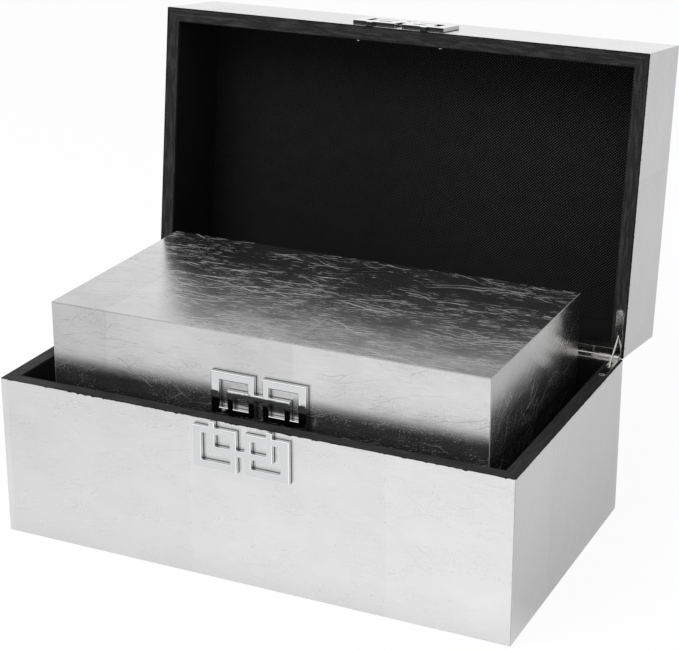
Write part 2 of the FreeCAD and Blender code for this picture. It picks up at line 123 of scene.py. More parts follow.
def rounding(tree, turned_to):
    """How far a place is turned from the flat faces: 0 on them, and 1 along a rounded edge."""
    squarest = add(tree, "ShaderNodeMath", {0: turned_to.outputs["X"], 1: turned_to.outputs["Y"]},
                   operation="MAXIMUM")
    squarest = add(tree, "ShaderNodeMath", {0: squarest, 1: turned_to.outputs["Z"]}, operation="MAXIMUM")
    return add(tree, "ShaderNodeMapRange", {"Value": squarest, "From Min": 0.98, "From Max": 0.9})


def silver_leaf(half, dull, bright, gloss, scatter, crease, first_joint, first_tone):
    """Silver leaf under lacquer: a mirror in the run of the sheet, but drawn wide across it by fine creases,
    under the faint haze of the lacquer. Thin wrinkles and flecks catch the light. On the rim and the underside
    it gives way to dark paint. The leaf runs from dull to bright in tone, gloss is its roughness, scatter and
    crease are how much rougher a wrinkle is and how high it stands, and the first sheet has its own place."""
    name = half.replace("_", " ")
    kind = half.split("_")[1]
    board = [f"{half}_{piece}" for piece in BOARD_PIECES + (PANELS[kind],)]
    low, high = corners(closed_points(board, half))
    middle = (low + high) / 2
    half_size = Vector((high.x - middle.x, high.y - middle.y, high.z - low.z))
    rim = high.z if kind == "base" else low.z
    to_rim = Matrix.Translation((-middle.x, -middle.y, -rim)) @ closing(half)
    material, tree = new_material(f"silver leaf, {name}")
    place = add(tree, "ShaderNodeTexCoord", {})
    local = add(tree, "ShaderNodeMapping", {"Vector": place.outputs["Object"],
                                            "Location": to_rim.to_translation(),
                                            "Rotation": to_rim.to_euler()})

    # Leaf lies only on the board's outside, and stops short of the rim at a torn, nicked edge
    size = add(tree, "ShaderNodeVectorMath", {0: local}, operation="ABSOLUTE")
    inset = add(tree, "ShaderNodeVectorMath", {0: half_size, 1: size}, operation="SUBTRACT")
    inset = add(tree, "ShaderNodeSeparateXYZ", {0: inset})
    depth = add(tree, "ShaderNodeSeparateXYZ", {0: size}).outputs["Z"]
    skin = add(tree, "ShaderNodeMath", {0: inset.outputs["X"], 1: inset.outputs["Y"]}, operation="MINIMUM")
    under_skin = add(tree, "ShaderNodeMath", {0: skin, 1: inset.outputs["Z"]}, operation="MINIMUM")
    outside = add(tree, "ShaderNodeMath", {0: under_skin, 1: 1.0 * MM}, operation="LESS_THAN")
    tear = add(tree, "ShaderNodeTexNoise", {"Vector": local, "Scale": 1 / (4 * MM), "Detail": 4.0,
                                            "Roughness": 0.7})
    edge = add(tree, "ShaderNodeMapRange", {"Value": tear.outputs["Fac"], "From Min": 0.48, "From Max": 0.7,
                                            "To Min": 0.1 * MM, "To Max": 1.0 * MM})
    past_edge = add(tree, "ShaderNodeMath", {0: depth, 1: edge}, operation="GREATER_THAN")
    leafed = add(tree, "ShaderNodeMath", {0: outside, 1: past_edge}, operation="MULTIPLY")
    if kind == "base":
        off_floor = add(tree, "ShaderNodeMath", {0: inset.outputs["Z"], 1: 0.05 * MM},
                        operation="GREATER_THAN")
        leafed = add(tree, "ShaderNodeMath", {0: leafed, 1: off_floor}, operation="MULTIPLY")

    # Each face has a flat place of its own: along the sheets, which run along X, or along Y on the two
    # sides, and across them
    facing = add(tree, "ShaderNodeMapping", {"Vector": place.outputs["Normal"],
                                             "Rotation": to_rim.to_euler()}, vector_type="VECTOR")
    turned_to = add(tree, "ShaderNodeVectorMath", {0: facing}, operation="ABSOLUTE")
    turned_to = add(tree, "ShaderNodeSeparateXYZ", {0: turned_to})
    on_side = add(tree, "ShaderNodeMath", {0: turned_to.outputs["X"], 1: 0.7}, operation="GREATER_THAN")
    on_panel = add(tree, "ShaderNodeMath", {0: turned_to.outputs["Z"], 1: 0.7}, operation="GREATER_THAN")
    parts = add(tree, "ShaderNodeSeparateXYZ", {0: local})
    along = add(tree, "ShaderNodeMix", {"Factor": on_side, FLOAT_A: parts.outputs["X"],
                                        FLOAT_B: parts.outputs["Y"]})
    over = add(tree, "ShaderNodeMix", {"Factor": on_panel, FLOAT_A: parts.outputs["Z"],
                                       FLOAT_B: parts.outputs["Y"]})
    flat = add(tree, "ShaderNodeCombineXYZ", {"X": along, "Y": over})

    # Each sheet has its own tone, by its number, and a lap where the next one starts. A panel is deep enough
    # for two rows of sheets
    torn = add(tree, "ShaderNodeTexNoise", {"Vector": flat, "Scale": 1 / (9 * MM), "Detail": 4.0},
               noise_dimensions="2D")
    sheets = add(tree, "ShaderNodeMath", {0: torn.outputs["Fac"], 1: 1.5 * MM, 2: along},
                 operation="MULTIPLY_ADD")
    sheets = add(tree, "ShaderNodeMath", {0: sheets, 1: 1 / SHEET, 2: -first_joint / SHEET},
                 operation="MULTIPLY_ADD")
    number = add(tree, "ShaderNodeMath", {0: sheets}, operation="FLOOR")
    number = add(tree, "ShaderNodeMath", {0: on_side, 1: FIRST_ON_SIDE, 2: number},
                 operation="MULTIPLY_ADD")
    rows = add(tree, "ShaderNodeMath", {0: torn.outputs["Fac"], 1: 1.5 * MM, 2: over},
               operation="MULTIPLY_ADD")
    back_row = add(tree, "ShaderNodeMath", {0: rows, 1: BACK_ROW}, operation="GREATER_THAN")
    row = add(tree, "ShaderNodeMath", {0: back_row, 1: FIRST_ON_PANEL}, operation="ADD")
    number = add(tree, "ShaderNodeMath", {0: on_panel, 1: row, 2: number}, operation="MULTIPLY_ADD")
    sheet_tone = add(tree, "ShaderNodeMath", {0: number, 1: TONE_STEP, 2: first_tone},
                     operation="MULTIPLY_ADD")
    sheet_tone = add(tree, "ShaderNodeMath", {0: sheet_tone}, operation="FRACT")
    share = add(tree, "ShaderNodeMath", {0: sheets}, operation="FRACT")
    lap = add(tree, "ShaderNodeMath", {0: share, 1: LAP / SHEET}, operation="LESS_THAN")

    # Wrinkles: thin lines drawn out along the sheet, which sway, fade in and out along their length, cross
    # at low angles and gather in patches. They are a little wider than real ones, so that they show. Each
    # layer has its weight, slope on a panel and on a wall, pitch, length, bend, and the wave that bends it
    drift = add(tree, "ShaderNodeVectorMath", {0: flat, 1: (0.4, 1, 1)}, operation="MULTIPLY")
    patches = add(tree, "ShaderNodeTexNoise", {"Vector": drift, "Scale": 1 / (20 * MM), "Detail": 3.0},
                  noise_dimensions="2D")
    sway = add(tree, "ShaderNodeTexNoise", {"Vector": flat, "Scale": 1 / (60 * MM), "Detail": 4.0,
                                            "Roughness": 0.45}, noise_dimensions="2D")
    sway = add(tree, "ShaderNodeSeparateColor", {0: sway.outputs["Color"]})
    width = add(tree, "ShaderNodeMix", {"Factor": on_panel, FLOAT_A: 0.25 * MM, FLOAT_B: 0.36 * MM})
    run_length = add(tree, "ShaderNodeMix", {"Factor": on_panel, FLOAT_A: 1.5, FLOAT_B: 1.0})
    lean = add(tree, "ShaderNodeMath", {0: on_side, 1: -1.1}, operation="MULTIPLY")
    wrinkles = 0.0
    for weight, slope, wall_slope, pitch, length, bend, wave in (
            (0.5, -0.1, -0.2, 1.5 * MM, 40 * MM, 20 * MM, "Red"),
            (1.0, -0.24, -0.12, 4.5 * MM, 60 * MM, 26 * MM, "Red"),
            (1.0, -0.05, -0.4, 6 * MM, 80 * MM, 32 * MM, "Green"),
            (1.0, 0.35, 0.6, 11 * MM, 60 * MM, 24 * MM, "Blue")):
        slope = add(tree, "ShaderNodeMix", {"Factor": on_panel, FLOAT_A: wall_slope, FLOAT_B: slope})
        slope = add(tree, "ShaderNodeMath", {0: slope, 1: lean}, operation="ADD")
        level = add(tree, "ShaderNodeMath", {0: along, 1: slope, 2: over}, operation="MULTIPLY_ADD")
        level = add(tree, "ShaderNodeMath", {0: sway.outputs[wave], 1: bend, 2: level},
                    operation="MULTIPLY_ADD")
        level = add(tree, "ShaderNodeMath", {0: level, 1: 1 / pitch}, operation="MULTIPLY")
        strand = add(tree, "ShaderNodeMath", {0: level}, operation="FLOOR")
        to_edge = add(tree, "ShaderNodeMath", {0: level, 1: 0.5}, operation="PINGPONG")
        off_line = add(tree, "ShaderNodeMath", {0: to_edge, 1: -pitch, 2: 0.5 * pitch},
                       operation="MULTIPLY_ADD")
        half_width = add(tree, "ShaderNodeMath", {0: width, 1: weight}, operation="MULTIPLY")
        fold = add(tree, "ShaderNodeMapRange", {"Value": off_line, "From Max": half_width, "To Min": weight,
                                                "To Max": 0.0})
        beside = add(tree, "ShaderNodeMath", {0: strand, 1: STRAND_STEP}, operation="MULTIPLY")
        reach = add(tree, "ShaderNodeMath", {0: along, 1: 1 / length}, operation="MULTIPLY")
        reach = add(tree, "ShaderNodeMath", {0: reach, 1: run_length}, operation="MULTIPLY")
        reach = add(tree, "ShaderNodeCombineXYZ", {"X": reach, "Y": beside})
        fading = add(tree, "ShaderNodeTexNoise", {"Vector": reach, "Scale": 1.0, "Detail": 5.0,
                                                  "Roughness": 0.65}, noise_dimensions="2D")
        fading = add(tree, "ShaderNodeMapRange", {"Value": fading.outputs["Fac"], "From Min": 0.53,
                                                  "From Max": 0.64})
        fold = add(tree, "ShaderNodeMath", {0: fold, 1: fading}, operation="MULTIPLY")
        wrinkles = add(tree, "ShaderNodeMath", {0: wrinkles, 1: fold}, operation="MAXIMUM")
    creased = add(tree, "ShaderNodeMapRange", {"Value": patches.outputs["Fac"], "From Min": 0.35,
                                               "From Max": 0.6, "To Min": 0.2})
    strength = add(tree, "ShaderNodeMix", {"Factor": on_panel, FLOAT_A: 0.5, FLOAT_B: 1.0})
    creased = add(tree, "ShaderNodeMath", {0: creased, 1: strength}, operation="MULTIPLY")
    wrinkles = add(tree, "ShaderNodeMath", {0: wrinkles, 1: creased}, operation="MULTIPLY")
    stuck = add(tree, "ShaderNodeMapRange", {"Value": patches.outputs["Fac"], "From Min": 0.45,
                                             "From Max": 0.65, "To Min": 0.03, "To Max": 0.2})
    wrinkles = add(tree, "ShaderNodeMath", {0: lap, 1: stuck, 2: wrinkles}, operation="MULTIPLY_ADD")

    # Flecks and short streaks, as fine as the grain of the ground under the leaf
    streaks = add(tree, "ShaderNodeVectorMath", {0: flat, 1: (0.08, 1, 1)}, operation="MULTIPLY")
    streaks = add(tree, "ShaderNodeTexNoise", {"Vector": streaks, "Scale": 1 / (1.2 * MM), "Detail": 2.0},
                  noise_dimensions="2D")
    drawn = add(tree, "ShaderNodeMix", {"Factor": on_panel, VECTOR_A: (0.6, 1, 1), VECTOR_B: (0.06, 1, 1)},
                data_type="VECTOR").outputs[1]
    specks = add(tree, "ShaderNodeVectorMath", {0: flat, 1: drawn}, operation="MULTIPLY")
    specks = add(tree, "ShaderNodeTexNoise", {"Vector": specks, "Scale": 1 / (0.8 * MM), "Detail": 1.0},
                 noise_dimensions="2D")
    speck = add(tree, "ShaderNodeMapRange", {"Value": specks.outputs["Fac"], "From Min": 0.66,
                                             "From Max": 0.9})
    speck = add(tree, "ShaderNodeMath", {0: speck, 1: creased}, operation="MULTIPLY")
    height = add(tree, "ShaderNodeMix", {"Factor": on_panel, FLOAT_A: 0.1 * crease, FLOAT_B: crease})
    relief = add(tree, "ShaderNodeMath", {0: wrinkles, 1: height}, operation="MULTIPLY")
    bump = add(tree, "ShaderNodeBump", {"Height": relief, "Distance": 1.0})

    # The finest creases draw the mirror out across the sheet, along this tangent. A panel is dullest at the
    # front, where hands lift it
    run = add(tree, "ShaderNodeMix", {"Factor": on_side, VECTOR_A: (1, 0, 0), VECTOR_B: (0, 1, 0)},
              data_type="VECTOR").outputs[1]
    across = add(tree, "ShaderNodeVectorMath", {0: facing, 1: run}, operation="CROSS_PRODUCT")
    across = add(tree, "ShaderNodeMapping", {"Vector": across, "Rotation": to_rim.inverted().to_euler()},
                 vector_type="VECTOR")
    tangent = add(tree, "ShaderNodeVectorTransform", {0: across}, vector_type="VECTOR",
                  convert_from="OBJECT", convert_to="WORLD")
    clouds = add(tree, "ShaderNodeTexNoise", {"Vector": local, "Scale": 1 / (50 * MM), "Detail": 6.0,
                                              "Roughness": 0.65})
    tone = add(tree, "ShaderNodeMix", {"Factor": 0.35, FLOAT_A: clouds.outputs["Fac"], FLOAT_B: sheet_tone})
    silver = add(tree, "ShaderNodeMix", {"Factor": tone, COLOUR_A: linear(dull), COLOUR_B: linear(bright)},
                 data_type="RGBA").outputs[2]
    handled = add(tree, "ShaderNodeMapRange", {"Value": parts.outputs["Y"], "From Min": -half_size.y,
                                               "From Max": 0.7 * half_size.y, "To Min": gloss + 0.01,
                                               "To Max": gloss - 0.16})
    handled = add(tree, "ShaderNodeMix", {"Factor": on_panel, FLOAT_A: gloss - 0.1, FLOAT_B: handled})
    rough = add(tree, "ShaderNodeMath", {0: patches.outputs["Fac"], 1: 0.08, 2: handled},
                operation="MULTIPLY_ADD")
    rough = add(tree, "ShaderNodeMath", {0: streaks.outputs["Fac"], 1: 0.08, 2: rough},
                operation="MULTIPLY_ADD")
    rough = add(tree, "ShaderNodeMath", {0: wrinkles, 1: scatter, 2: rough}, operation="MULTIPLY_ADD")
    rough = add(tree, "ShaderNodeMath", {0: rounding(tree, turned_to), 1: 0.25, 2: rough},
                operation="MULTIPLY_ADD")
    rough = add(tree, "ShaderNodeMath", {0: speck, 1: scatter, 2: rough}, operation="MULTIPLY_ADD")
    leaf = add(tree, "ShaderNodeBsdfPrincipled", {"Base Color": silver, "Metallic": 0.98, "Roughness": rough,
                                                  "Anisotropic": 1.0, "Tangent": tangent, "Normal": bump})

    # Matt paint with the grain of the board under it, brushed along each rim up to its mitre and rubbed pale
    # where the two rims meet. Near the rim's outer edge, where the leaf begins, it is painted darker as
    # painted shade
    scuffs = add(tree, "ShaderNodeTexNoise", {"Vector": local, "Scale": 1 / (1.5 * MM), "Detail": 3.0})
    side_rim = add(tree, "ShaderNodeMath", {0: inset.outputs["X"], 1: inset.outputs["Y"]},
                   operation="LESS_THAN")
    stroke = add(tree, "ShaderNodeMix", {"Factor": side_rim, FLOAT_A: parts.outputs["X"],
                                         FLOAT_B: parts.outputs["Y"]})
    stroke = add(tree, "ShaderNodeMath", {0: stroke, 1: 0.12}, operation="MULTIPLY")
    bristle = add(tree, "ShaderNodeMix", {"Factor": side_rim, FLOAT_A: parts.outputs["Y"],
                                          FLOAT_B: parts.outputs["X"]})
    rubbed = add(tree, "ShaderNodeCombineXYZ", {"X": stroke, "Y": bristle})
    rubbed = add(tree, "ShaderNodeTexNoise", {"Vector": rubbed, "Scale": 1 / (2.5 * MM), "Detail": 4.0,
                                              "Roughness": 0.65}, noise_dimensions="2D")
    rubbed = add(tree, "ShaderNodeMapRange", {"Value": rubbed.outputs["Fac"], "From Min": 0.45,
                                              "From Max": 0.75})
    wear_and_edge_shade = add(tree, "ShaderNodeMath", {0: scuffs.outputs["Fac"], 1: 0.7, 2: rubbed},
               operation="MULTIPLY_ADD")
    # Painted shade: the paint darkens within about a millimetre of the rim's outer edge
    painted_rim_edge_shade = add(tree, "ShaderNodeMapRange", {"Value": under_skin, "From Min": 0.3 * MM,
                                             "From Max": 1.3 * MM})
    wear_and_edge_shade = add(tree, "ShaderNodeMath", {0: wear_and_edge_shade, 1: painted_rim_edge_shade}, operation="MULTIPLY")
    grey = add(tree, "ShaderNodeMix", {"Factor": wear_and_edge_shade, COLOUR_A: linear("#0C0C0C"),
                                       COLOUR_B: linear("#343434")}, data_type="RGBA").outputs[2]
    brushed = add(tree, "ShaderNodeBump", {"Height": scuffs.outputs["Fac"], "Distance": 0.15 * MM})
    matt_paint = add(tree, "ShaderNodeBsdfPrincipled", {"Base Color": grey, "Roughness": 0.6,
                                                        "Specular IOR Level": 0.15, "Normal": brushed})
    finish = add(tree, "ShaderNodeMixShader", {0: leafed, 1: matt_paint, 2: leaf})
    add(tree, "ShaderNodeOutputMaterial", {"Surface": finish})
    paint(board, material)


for half, first_joint in (("outer_base", -43 * MM), ("outer_lid", -20 * MM)):
    silver_leaf(half, dull="#DEDEDE", bright="#F0F0F0", gloss=0.24, scatter=0.3, crease=0.03 * MM,
                first_joint=first_joint, first_tone=0.45)
for half in ("inner_base", "inner_lid"):
    silver_leaf(half, dull="#BEBEBE", bright="#E8E8E8", gloss=0.18, scatter=0.65, crease=0.26 * MM,
                first_joint=26 * MM, first_tone=0.9)

# Lining: black plain-woven cloth glued round thin card, a strip on each wall and one card on the panel.
# The cloth rolls over the cards' edges, so each strip is soft where it meets the next.
EDGE_ROLL = (0, 25, 50, 75, 90)
WARP = 1.28 * MM
WEFT = 1.12 * MM


def cloth_card(shape, corner, across, up, width, height, thickness):
    """One card wrapped in cloth: flat, rolled over at all four edges, and closed at the back."""
    rolled = [math.radians(angle) for angle in EDGE_ROLL]
    near = [(thickness * (1 - math.cos(angle)), thickness * math.sin(angle)) for angle in rolled]
    out = across.cross(up)
    steps = [near + [(length - run, rise) for run, rise in reversed(near)] for length in (width, height)]
    cloth = shape.loops.layers.uv.verify()
    grid = [[shape.verts.new(corner + across * u + up * v + out * min(u_rise, v_rise))
             for v, v_rise in steps[1]] for u, u_rise in steps[0]]
    flat = {vertex: (steps[0][i][0], steps[1][j][0])
            for i, column in enumerate(grid) for j, vertex in enumerate(column)}
    faces = []
    for left, right in zip(grid, grid[1:]):
        for j in range(len(left) - 1):
            faces.append(shape.faces.new((left[j], right[j], right[j + 1], left[j + 1])))
    border = [column[0] for column in grid] + grid[-1][1:]
    border += [column[-1] for column in reversed(grid[:-1])] + grid[0][-2:0:-1]
    faces.append(shape.faces.new(reversed(border)))
    for face in faces:
        face.smooth = len(face.verts) == 4
        for loop in face.loops:
            loop[cloth].uv = flat[loop.vert]


def cloth_piece(name, half, stands_for, build):
    """A lining piece for one half, shaped with its half shut and then swung to where the half rests."""
    mesh = bpy.data.meshes.new(name)
    shape = bmesh.new()
    build(shape)
    shape.to_mesh(mesh)
    shape.free()
    mesh.transform(closing(half).inverted())
    piece = bpy.data.objects.new(name, mesh)
    bpy.context.scene.collection.objects.link(piece)
    mesh.materials.append(black_cloth)
    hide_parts(stands_for)
    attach(piece, half)


# Dull black cloth: the tops of its threads are painted lighter as a painted highlight, and more so on the
# right, as painted light.
# The weave is drawn as coarse as it needs to show, which may be coarser than the real threads
black_cloth, tree = new_material("black plain-weave cloth")
woven = add(tree, "ShaderNodeUVMap", {})
threads = add(tree, "ShaderNodeSeparateXYZ", {0: woven})
waves = []
for output, pitch in (("X", WARP), ("Y", WEFT)):
    turn = add(tree, "ShaderNodeMath", {0: threads.outputs[output], 1: math.pi / pitch},
               operation="MULTIPLY")
    waves.append(add(tree, "ShaderNodeMath", {0: turn}, operation="SINE"))
crossing = add(tree, "ShaderNodeMath", {0: waves[0], 1: waves[1]}, operation="MULTIPLY")
raised = add(tree, "ShaderNodeMapRange", {"Value": crossing, "From Min": 0.3, "From Max": 0.95})
slub = add(tree, "ShaderNodeTexNoise", {"Vector": woven, "Scale": 1 / (14 * MM), "Detail": 4.0})
# Painted light: the thread tops are painted lighter from left to right along Object X
painted_light_on_right = add(tree, "ShaderNodeTexCoord", {})
painted_light_on_right = add(tree, "ShaderNodeSeparateXYZ", {0: painted_light_on_right.outputs["Object"]})
painted_light_on_right = add(tree, "ShaderNodeMapRange", {"Value": painted_light_on_right.outputs["X"], "From Min": -40 * MM,
                                       "From Max": 160 * MM, "To Min": 0.25, "To Max": 1.6})
raised = add(tree, "ShaderNodeMix", {"Factor": painted_light_on_right, FLOAT_A: 0.07, FLOAT_B: raised})
slub = add(tree, "ShaderNodeMapRange", {"Value": slub.outputs["Fac"], "To Min": 0.3, "To Max": 0.7})
# Painted highlight: the raised thread tops are coloured lighter than the cloth
lit = add(tree, "ShaderNodeMath", {0: raised, 1: slub}, operation="MULTIPLY")
black = add(tree, "ShaderNodeMix", {"Factor": lit, COLOUR_A: linear("#0B0B0B"),
                                    COLOUR_B: linear("#6A6A6A")}, data_type="RGBA").outputs[2]
yarn = add(tree, "ShaderNodeBump", {"Height": crossing, "Distance": 0.12 * MM, "Strength": 0.7})
cloth = add(tree, "ShaderNodeBsdfPrincipled", {"Base Color": black, "Roughness": 0.85, "Normal": yarn,
                                               "Specular IOR Level": 0.1})
add(tree, "ShaderNodeOutputMaterial", {"Surface": cloth})

x, y, z = Vector((1, 0, 0)), Vector((0, 1, 0)), Vector((0, 0, 1))
for half in HALVES:
    panel = f"{half}_{'floor' if half.endswith('base') else 'top'}_lining"
    card_low, card_high = corners(closed_points([panel], half))
    low, high = corners(closed_points([f"{half}_wall_lining"], half))
    thick = card_high.z - card_low.z
    span = high - low
    depth = span.y - 2 * thick

    def strips(shape):
        """The four wall strips: front and back over the full width, the sides between them."""
        cloth_card(shape, Vector((high.x, low.y, low.z)), -x, z, span.x, span.z, thick)
        cloth_card(shape, Vector((low.x, high.y, low.z)), x, z, span.x, span.z, thick)
        cloth_card(shape, Vector((low.x, low.y + thick, low.z)), y, z, depth, span.z, thick)
        cloth_card(shape, Vector((high.x, high.y - thick, low.z)), -y, z, depth, span.z, thick)

    def flat_card(shape):
        """The card on the panel, its cloth towards the inside of the box."""
        if half.endswith("base"):
            cloth_card(shape, card_low, x, y, span.x, span.y, thick)
        else:
            cloth_card(shape, Vector((card_high.x, card_low.y, card_high.z)), -x, y, span.x, span.y, thick)

    cloth_piece(f"{half}_wall_cloth", half, f"{half}_wall_lining", strips)
    cloth_piece(f"{half}_panel_cloth", half, panel, flat_card)

# Fret plates: four cast zinc ornaments, polished and chrome plated, one each side of both seams.
# Each sits flat on the leaf and is pulled up by two screws from inside the box. Its foot is painted dark
# against the leaf, a painted shade where plate and leaf meet, and it is rougher there.
def chrome(half):
    """Bright chrome: a near mirror with slow dips from the polishing, with a painted highlight along its
    rounded edges and painted shade along the foot of the casting, which is also rougher there."""
    plate = f"{half}_fret_plate"
    wall = corners(closed_points([plate], half))[1].y
    material, tree = new_material(f"chrome plate on cast zinc, {half.replace('_', ' ')}")
    place = add(tree, "ShaderNodeTexCoord", {})
    shut = closing(half)
    local = add(tree, "ShaderNodeMapping", {"Vector": place.outputs["Object"],
                                            "Location": shut.to_translation(), "Rotation": shut.to_euler()})
    depth = add(tree, "ShaderNodeSeparateXYZ", {0: local}).outputs["Y"]
    # Painted shade: the foot of the plate, next to the leaf, is painted near black; it is also made rougher
    # there
    foot_shade_and_dulling = add(tree, "ShaderNodeMapRange", {"Value": depth, "From Min": wall - 1.1 * MM,
                                            "From Max": wall - 0.4 * MM})
    dips = add(tree, "ShaderNodeTexNoise", {"Vector": local, "Scale": 1 / (6 * MM), "Detail": 3.0})
    shine = add(tree, "ShaderNodeMath", {0: dips.outputs["Fac"], 1: 0.1}, operation="MULTIPLY")
    shine = add(tree, "ShaderNodeMath", {0: foot_shade_and_dulling, 1: 0.4, 2: shine}, operation="MULTIPLY_ADD")
    facing = add(tree, "ShaderNodeMapping", {"Vector": place.outputs["Normal"], "Rotation": shut.to_euler()},
                 vector_type="VECTOR")
    turned_to = add(tree, "ShaderNodeVectorMath", {0: facing}, operation="ABSOLUTE")
    turned_to = add(tree, "ShaderNodeSeparateXYZ", {0: turned_to})
    # Painted highlight: the rounded edges are painted white against the plate's grey
    painted_edge_highlight = add(tree, "ShaderNodeMix", {"Factor": rounding(tree, turned_to), COLOUR_A: linear("#D6D7D8"),
                                         COLOUR_B: linear("#FFFFFF")}, data_type="RGBA").outputs[2]
    plating = add(tree, "ShaderNodeMix", {"Factor": foot_shade_and_dulling, COLOUR_A: painted_edge_highlight, COLOUR_B: linear("#202020")},
                  data_type="RGBA").outputs[2]
    waves = add(tree, "ShaderNodeBump", {"Height": dips.outputs["Fac"], "Distance": 0.03 * MM})
    mirror = add(tree, "ShaderNodeBsdfPrincipled", {"Base Color": plating, "Metallic": 1.0,
                                                    "Roughness": shine, "Normal": waves})
    add(tree, "ShaderNodeOutputMaterial", {"Surface": mirror})
    paint([plate], material)


for half in HALVES:
    chrome(half)

# Hinges: L-shaped leaves with knuckles, pins and stay arms, stamped from steel and nickel plated.
# The leaves lie flush in the rims, and the stay arms slide in slots between them. Nickel is a slightly
# warm mirror, drawn out by the fine lines of the rolled strip, with eased edges that catch the light.
material, tree = new_material("nickel plate on stamped steel")
place = add(tree, "ShaderNodeTexCoord", {})
drawn = add(tree, "ShaderNodeVectorMath", {0: place.outputs["Object"], 1: (1, 0.1, 0.1)},
            operation="MULTIPLY")
marks = add(tree, "ShaderNodeTexNoise", {"Vector": drawn, "Scale": 1 / (0.5 * MM), "Detail": 3.0})
shine = add(tree, "ShaderNodeMapRange", {"Value": marks.outputs["Fac"], "To Min": 0.03, "To Max": 0.14})
eased = add(tree, "ShaderNodeBevel", {"Radius": 0.3 * MM})
lines = add(tree, "ShaderNodeBump", {"Height": marks.outputs["Fac"], "Distance": 0.01 * MM,
                                     "Normal": eased})
tone = add(tree, "ShaderNodeMix", {"Factor": marks.outputs["Fac"], COLOUR_A: linear("#C6C5C2"),
                                   COLOUR_B: linear("#D8D7D4")}, data_type="RGBA").outputs[2]
nickel = add(tree, "ShaderNodeBsdfPrincipled", {"Base Color": tone, "Metallic": 1.0, "Roughness": shine,
                                                "Normal": lines})
add(tree, "ShaderNodeOutputMaterial", {"Surface": nickel})
paint([name for name in nodes if name.endswith(("hinge_leaf", "hinge_pin", "stay_arm"))], material)

# Screws: steel with a cross recess, turned and rolled, then zinc plated. Countersunk ones sit flush in the
# hinge leaves, and pan heads inside the boxes pull the fret plates up through lining and wall. Zinc is a
# cool bright metal, clouded in small spots by a dull bloom.
RECESS_LENGTH = 2.4 * MM
RECESS_WIDTH = 0.6 * MM
RECESS_DEPTH = 0.8 * MM
THREAD_PITCH = 0.8 * MM
LATHE_RADIUS = 50 * MM
SCREW_SPREAD = 6 * MM

zinc, tree = new_material("zinc plate on steel")
place = add(tree, "ShaderNodeTexCoord", {})
bloom = add(tree, "ShaderNodeTexNoise", {"Vector": place.outputs["Object"], "Scale": 1 / (0.7 * MM),
                                         "Detail": 3.0})
shine = add(tree, "ShaderNodeMapRange", {"Value": bloom.outputs["Fac"], "To Min": 0.15, "To Max": 0.4})
zinc_tone = add(tree, "ShaderNodeMix", {"Factor": bloom.outputs["Fac"], COLOUR_A: linear("#C2C4C8"),
                                        COLOUR_B: linear("#E6E7E8")}, data_type="RGBA").outputs[2]
plated = add(tree, "ShaderNodeBsdfPrincipled", {"Base Color": zinc_tone, "Metallic": 1.0,
                                                "Roughness": shine})
add(tree, "ShaderNodeOutputMaterial", {"Surface": plated})

screw_tree = bpy.data.node_groups.new("cross-recess screw", "GeometryNodeTree")
tree = screw_tree
tree.interface.new_socket("Seats", in_out="INPUT", socket_type="NodeSocketGeometry")
screw_sizes = {}
for size in ("Head radius", "Head rise", "Seat depth", "Shank radius", "Length"):
    socket = tree.interface.new_socket(size, in_out="INPUT", socket_type="NodeSocketFloat")
    screw_sizes[size] = socket.identifier
tree.interface.new_socket("Screws", in_out="OUTPUT", socket_type="NodeSocketGeometry")
given = add(tree, "NodeGroupInput", {})
head, rise, seat, shank, length = (given.outputs[size] for size in screw_sizes)
core = add(tree, "ShaderNodeMath", {0: shank, 1: 0.8}, operation="MULTIPLY")
crest = add(tree, "ShaderNodeMath", {0: shank, 1: 0.2}, operation="MULTIPLY")
taper = add(tree, "ShaderNodeMath", {0: length, 1: shank}, operation="SUBTRACT")
shoulder = add(tree, "ShaderNodeMath", {0: head, 1: 0.9}, operation="MULTIPLY")
top = add(tree, "ShaderNodeMath", {0: rise, 1: -1.0}, operation="MULTIPLY")


def on_lathe(radius, depth):
    """A point of the screw's outline, measured from the axis and down from its seat."""
    out = add(screw_tree, "ShaderNodeMath", {0: radius, 1: LATHE_RADIUS}, operation="SUBTRACT")
    return add(screw_tree, "ShaderNodeCombineXYZ", {"X": out, "Y": depth})


outline = add(tree, "GeometryNodeJoinGeometry", {})
dome = add(tree, "GeometryNodeCurveQuadraticBezier", {"Resolution": 8, "Start": on_lathe(0.0, top),
                                                      "Middle": on_lathe(shoulder, top),
                                                      "End": on_lathe(head, 0.0)})
tree.links.new(dome.outputs[0], outline.inputs[0])
for start, end in (((head, 0.0), (core, seat)), ((core, seat), (core, taper)),
                   ((core, taper), (0.0, length))):
    side = add(tree, "GeometryNodeCurvePrimitiveLine", {"Start": on_lathe(*start), "End": on_lathe(*end)})
    tree.links.new(side.outputs[0], outline.inputs[0])
rail = add(tree, "GeometryNodeCurvePrimitiveCircle", {"Resolution": 32, "Radius": LATHE_RADIUS})
turned = add(tree, "GeometryNodeCurveToMesh", {"Curve": rail, "Profile Curve": outline})
turned = add(tree, "GeometryNodeMergeByDistance", {"Geometry": turned, "Distance": 0.001 * MM})
recessed = add(tree, "GeometryNodeMeshBoolean", {0: turned}, operation="DIFFERENCE", solver="EXACT")
on_top = add(tree, "ShaderNodeCombineXYZ", {"Z": rise})
for cut_x, cut_y in ((RECESS_LENGTH, RECESS_WIDTH), (RECESS_WIDTH, RECESS_LENGTH)):
    cutter = add(tree, "GeometryNodeMeshCube", {"Size": (cut_x, cut_y, 2 * RECESS_DEPTH)})
    cutter = add(tree, "GeometryNodeTransform", {"Geometry": cutter, "Translation": on_top})
    tree.links.new(cutter.outputs[0], recessed.inputs[1])

